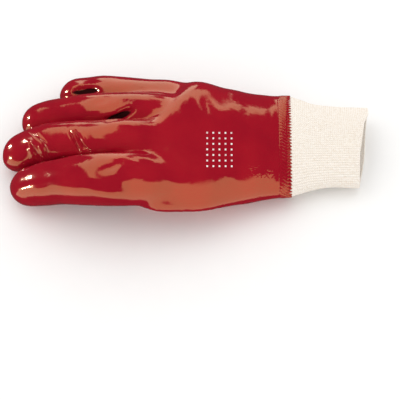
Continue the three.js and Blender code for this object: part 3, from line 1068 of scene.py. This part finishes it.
def bump(tree, height, distance, strength, over=None):
    """A normal bumped by a height, over another bumped normal if one is given."""
    made = node(tree, "ShaderNodeBump", Distance=distance)
    link(tree, height, made.inputs["Height"])
    if isinstance(strength, float):
        made.inputs["Strength"].default_value = strength
    else:
        link(tree, strength, made.inputs["Strength"])
    if over:
        link(tree, over, made.inputs["Normal"])
    return made.outputs["Normal"]


def from_middle(tree, where, middle, reach, turned=(0, 0, 0)):
    """Distance from a middle, as a share of the reach along each of three axes."""
    local = node(tree, "ShaderNodeMapping", vector_type="TEXTURE",
                 Location=middle, Rotation=turned, Scale=reach)
    link(tree, where, local.inputs["Vector"])
    length = node(tree, "ShaderNodeVectorMath", operation="LENGTH")
    link(tree, local.outputs["Vector"], length.inputs[0])
    return length.outputs["Value"]


# %% [markdown]
# ## Dark gaps
#
# Between the fingers the coat touches itself, and next to the places where it doesn't, a gap goes
# down so deep that it looks black. The skin is only pressed in a few millimetres there, so the rest
# of that shade is painted into the finish: inside a long flat oval the coat's colour is painted
# near black and its mirroring is turned off.

# %% Painted shade in the gaps between the fingers
# Both ends in metres, and half the height as the camera sees it.
GAPS = [
    ((-0.0880, 0.0457, 0.0245), (-0.0615, 0.0435, 0.0308), 0.0030),
    ((-0.0600, 0.0088, 0.0440), (-0.0395, 0.0136, 0.0492), 0.0030),
]
GAP_REACH = 0.004  # metres in and out of the gap
GAP_EDGE = 0.72  # share of the way out where the dark starts to fade
# colour of the painted shade deep in a gap
GAP_PAINTED_SHADE = (0.022, 0.004, 0.004)


def painted_gap_shade(tree, where, start, end, half_height):
    """Painted shade's mask: 1 in a gap, 0 from its edge on."""
    start, end = Vector(start), Vector(end)
    ahead = (end - start).normalized()
    up = (view_up - ahead * view_up.dot(ahead)).normalized()
    turned = Matrix((ahead, up, ahead.cross(up))).transposed().to_euler()
    reach = ((end - start).length / 2, half_height, GAP_REACH)
    away = from_middle(tree, where, (start + end) / 2, reach, turned)
    return remap(tree, away, GAP_EDGE, 1.0, 1.0, 0.0, "SMOOTHSTEP")


print("gaps, mm long:", [round((Vector(end) - Vector(start)).length / MM, 1) for start, end, _ in GAPS])

# %% [markdown]
# ## Finish of the coat
#
# PVC is a clear hard gloss over a deep red. The colour varies a little, and where the dip is
# thicker it is darker. The gloss varies too: it is finely crinkled everywhere, and beside the hem
# the knit shows through as a coarser weave. Noise gives all of it, in object coordinates so that
# nothing stretches.

# %% Red PVC
COAT_RED = (0.335, 0.0045, 0.0165)
COAT_DARK = (0.285, 0.004, 0.0155)
COAT_IOR = 1.5
COAT_MIRROR = 0.5  # the shader's own strength of mirroring
COAT_ROUGHNESS = (0.07, 0.14)
GLOSS_TINT = (1.0, 0.72, 0.34)  # the wet gloss mirrors warm where it is seen squarely

WEAVE_MIDDLE = (0.047, -0.029, 0.028)  # metres: where the knit shows through the coat
WEAVE_REACH = (0.026, 0.008, 0.014)
WEAVE_STRENGTH = 0.8

coat, tree, shader = material("red_pvc", IOR=COAT_IOR, **{"Specular Tint": (*GLOSS_TINT, 1)})
where = coordinates(tree)
broad = noise(tree, where, Scale=38.0, Detail=3.0)
# painted shade: in the gaps' ovals the red is painted near black and the mirroring is turned down
gap_shade = 0.0
for gap in GAPS:
    gap_shade = maths(tree, "MAXIMUM", painted_gap_shade(tree, where, *gap), gap_shade)
shaded = node(tree, "ShaderNodeMix", data_type="RGBA")
link(tree, gap_shade, shaded.inputs["Factor"])
link(tree, ramp(tree, broad, [(0.3, COAT_DARK), (0.62, COAT_RED)]), shaded.inputs[6])
shaded.inputs[7].default_value = (*GAP_PAINTED_SHADE, 1)
link(tree, shaded.outputs[2], shader.inputs["Base Color"])
link(tree, remap(tree, gap_shade, 0.0, 1.0, COAT_MIRROR, 0.0), shader.inputs["Specular IOR Level"])
link(tree, remap(tree, broad, 0.3, 0.7, *COAT_ROUGHNESS), shader.inputs["Roughness"])

crinkled = bump(tree, noise(tree, where, Scale=420.0, Detail=2.0), 0.0004, 0.10)
rippled = bump(tree, noise(tree, where, Scale=110.0, Detail=2.0), 0.0008, 0.22, crinkled)
weave = noise(tree, where, Scale=330.0, Detail=1.0, Distortion=0.6)
away = from_middle(tree, where, WEAVE_MIDDLE, WEAVE_REACH)
woven = bump(tree, weave, 0.0009, remap(tree, away, 0.5, 1.0, WEAVE_STRENGTH, 0.0), rippled)
link(tree, woven, shader.inputs["Normal"])
coated_hand.data.materials.append(coat)
print("red PVC:", len(tree.nodes), "nodes")

# %% [markdown]
# ## Finish of the knit
#
# Unbleached cotton: matt and warm white. Each stitch is a small V, and fuzz softens everything.
# A wave that bends back at the middle of each rib draws the rows of Vs. The valleys of the
# stitches and of the fuzz get painted shade, darker and a little yellow, and the fuzz also varies
# the tone at random.

# %% Cotton knit
COTTON = (0.91, 0.865, 0.81)
# colour of the painted shade in the valleys of the stitches and the fuzz
COTTON_PAINTED_SHADE = (0.68, 0.56, 0.43)
STITCH_BEND = 1.3  # stitches that a V's arm runs along its rib
STITCH_SHARE = 0.3  # how much the stitches count beside the fuzz

knit, tree, shader = material("cotton_knit", Roughness=0.9, **{
    "Sheen Weight": 0.25, "Sheen Roughness": 0.5, "Specular IOR Level": 0.2})
parts = node(tree, "ShaderNodeSeparateXYZ")
link(tree, node(tree, "ShaderNodeUVMap", uv_map="knit").outputs["UV"], parts.inputs["Vector"])
in_rib = maths(tree, "PINGPONG", parts.outputs["X"], 0.5)
bent = maths(tree, "ADD", parts.outputs["Y"], maths(tree, "MULTIPLY", in_rib, STITCH_BEND))
stitch = maths(tree, "SINE", maths(tree, "MULTIPLY", bent, 2 * math.pi))
stitch = maths(tree, "ADD", maths(tree, "MULTIPLY", stitch, 0.5), 0.5)
fuzz = noise(tree, coordinates(tree), Scale=900.0, Detail=4.0)
height = maths(tree, "ADD", maths(tree, "MULTIPLY", stitch, STITCH_SHARE), fuzz)
# painted shade: where the stitches and the fuzz are low, the colour goes darker, with random tone from
# the fuzz
tone_and_shade = maths(tree, "MULTIPLY", height, 0.75)
link(tree, ramp(tree, tone_and_shade, [(0.12, COTTON_PAINTED_SHADE), (0.62, COTTON)]), shader.inputs["Base Color"])
link(tree, bump(tree, height, 0.0004, 0.4), shader.inputs["Normal"])
knit_wrist.data.materials.append(knit)
print("cotton knit:", len(tree.nodes), "nodes")

# %% [markdown]
# ## Ink
#
# Screen-printed ink on PVC is opaque and half matt. Small specks of it are missing, and the red
# shows through as pink.

# %% White ink
INK_WHITE = (0.86, 0.80, 0.78)
INK_WORN = (0.62, 0.36, 0.36)

ink, tree, shader = material("white_ink", Roughness=0.35)
wear = noise(tree, coordinates(tree), Scale=700.0, Detail=2.0)
link(tree, ramp(tree, wear, [(0.36, INK_WORN), (0.5, INK_WHITE)]), shader.inputs["Base Color"])
back_print.data.materials.append(ink)
print("white ink:", len(tree.nodes), "nodes")

# %% [markdown]
# ## What rides on what
#
# Nothing here moves by itself, so every piece rides on the one body. The hand and the knit stand
# for the frame's two solids.

# %% Tie the pieces to the frame
for piece, slot_name in ((coated_hand, "dipped_coat"), (knit_wrist, "cuff_knit"),
                         (back_print, "dipped_coat")):
    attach(piece, "root")
    print(piece.name, "->", slot_name)
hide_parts("hand_shell")
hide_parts("knit_cuff")

# %% [markdown]
# ## Floor
#
# The picture is a product shot on a white sheet. The sheet is matt and nearly even. The gloss
# doesn't see it, because the real sheet ends close to the glove and the room behind it is what
# the coat mirrors.

# %% White sheet
FLOOR_SIDE = 6.0  # metres
FLOOR_DROP = 0.0002  # metres under the glove, so that the two never share a plane
FLOOR_WHITE = (0.93, 0.93, 0.93)
FLOOR_GREY = (0.91, 0.91, 0.91)

floor_shape = bmesh.new()
bmesh.ops.create_grid(floor_shape, x_segments=4, y_segments=4, size=FLOOR_SIDE / 2)
floor_mesh = bpy.data.meshes.new("floor")
floor_shape.to_mesh(floor_mesh)
floor_shape.free()
floor = bpy.data.objects.new("floor", floor_mesh)
floor.location.z = -FLOOR_DROP
bpy.context.scene.collection.objects.link(floor)
floor.visible_glossy = False
paper, tree, shader = material("white_sheet", Roughness=0.9, **{"Specular IOR Level": 0.0})
grain = noise(tree, coordinates(tree, "Generated"), Scale=300.0)
link(tree, ramp(tree, grain, [(0.0, FLOOR_GREY), (1.0, FLOOR_WHITE)]), shader.inputs["Base Color"])
floor.data.materials.append(paper)
print("floor:", FLOOR_SIDE, "m square")

# %% [markdown]
# ## The room that the coat mirrors
#
# The light is soft and comes from all sides. What makes the coat look wet is what it mirrors:
# bright panels low behind the table, to its left and in front, with a dark ceiling above. So rays
# that come off the gloss see such a room, and all other rays see an even pale sky. A panel is a
# box in the direction of the mirrored ray, with soft edges.

# %% Room
SKY = 1.02  # brightness of the even sky
SKY_WHITE = (1, 0.99, 0.975)
PANEL = (3.4, 3.35, 2.7)  # colour and brightness of what the gloss mirrors
CEILING = (0.10, 0.07, 0.07)
# Each panel: its place as pairs of edges, where the brightness starts and is full, on the axes
# of the direction that a mirrored ray goes.
PANELS = [
    # window high on the left
    {"X": (-0.04, -0.10), "X end": (-0.66, -0.60), "Y": (-0.10, -0.04), "Z": (0.34, 0.40),
     "Z top": (0.95, 0.90)},
    # back wall
    {"X": (-0.34, -0.28), "X end": (0.14, 0.08), "Y": (0.1, 0.2), "Z": (-0.06, 0.0),
     "Z top": (0.64, 0.58)},
    {"X": (0.06, 0.12), "X end": (0.48, 0.42), "Y": (0.1, 0.2), "Z": (0.28, 0.33),
     "Z top": (0.52, 0.47)},
    # window in front, on the right
    {"X": (0.14, 0.20), "Y": (-0.12, -0.20), "Z": (-0.50, -0.44), "Z top": (0.80, 0.75)},
    # the table's edge in front and on the left
    {"Y": (-0.12, -0.20), "Z": (-0.56, -0.48), "Z top": (0.12, 0.05)},
    {"X": (-0.58, -0.64), "Y": (-0.12, -0.20), "Z": (-0.40, -0.34), "Z top": (0.16, 0.10)},
]

world = bpy.data.worlds.new("room")
bpy.context.scene.world = world
world.use_nodes = True
tree = world.node_tree
tree.nodes.clear()
direction = node(tree, "ShaderNodeSeparateXYZ")
link(tree, coordinates(tree, "Generated"), direction.inputs["Vector"])


def edge(value, start, full):
    """0 before start, 1 past full, on a soft step. The two may come in either order."""
    rising = start < full
    return remap(tree, value, min(start, full), max(start, full),
                 float(not rising), float(rising), "SMOOTHSTEP")


mirrored = 0.0
for panel in PANELS:
    lit = 1.0
    for axis, (start, full) in panel.items():
        lit = maths(tree, "MULTIPLY", lit, edge(direction.outputs[axis[0]], start, full))
    mirrored = maths(tree, "MAXIMUM", mirrored, lit)
gloss = node(tree, "ShaderNodeMix", data_type="RGBA")
link(tree, mirrored, gloss.inputs["Factor"])
gloss.inputs[6].default_value = (*CEILING, 1)
gloss.inputs[7].default_value = (*PANEL, 1)
sky = node(tree, "ShaderNodeBackground", Strength=SKY, Color=(*SKY_WHITE, 1))
room = node(tree, "ShaderNodeBackground", Strength=1.0)
link(tree, gloss.outputs[2], room.inputs["Color"])
choose = node(tree, "ShaderNodeMixShader")
link(tree, node(tree, "ShaderNodeLightPath").outputs["Is Glossy Ray"], choose.inputs[0])
link(tree, sky.outputs["Background"], choose.inputs[1])
link(tree, room.outputs["Background"], choose.inputs[2])
world_out = node(tree, "ShaderNodeOutputWorld")
link(tree, choose.outputs["Shader"], world_out.inputs["Surface"])
print("room:", len(PANELS), "panels,", len(tree.nodes), "nodes")

# %% [markdown]
# ## Lamps
#
# The white glints on the fingertips and the crumples are small, far lamps mirrored in the coat.
# They are for the gloss alone, because they would leave hard spots on the matt red. One large
# soft lamp gives the matt colours a little direction, and the gloss doesn't see it.

# %% Lamps
# Each lamp: side in metres, power in watts, place in metres, and whether it is for the gloss
# alone, which then mirrors it, or only lights the matt colours.
LAMPS = {
    "glint_lamp": (0.12, 30, (-1.93, -0.36, 0.2), True),
    "crumple_lamp": (0.17, 40, (-1.8, 0.76, 0.36), True),
    "soft_lamp": (2.4, 12, (-0.4, 0.3, 2.4), False),
}

for name, (side, power, place, for_gloss) in LAMPS.items():
    data = bpy.data.lights.new(name, "AREA")
    data.size = side
    data.energy = power
    lamp = bpy.data.objects.new(name, data)
    lamp.location = place
    lamp.rotation_mode = "QUATERNION"
    lamp.rotation_quaternion = (-Vector(place)).to_track_quat("-Z", "Y")
    lamp.visible_glossy = for_gloss
    lamp.visible_diffuse = not for_gloss
    bpy.context.scene.collection.objects.link(lamp)
bpy.context.scene.view_settings.view_transform = "Standard"
print("lamps:", ", ".join(LAMPS))
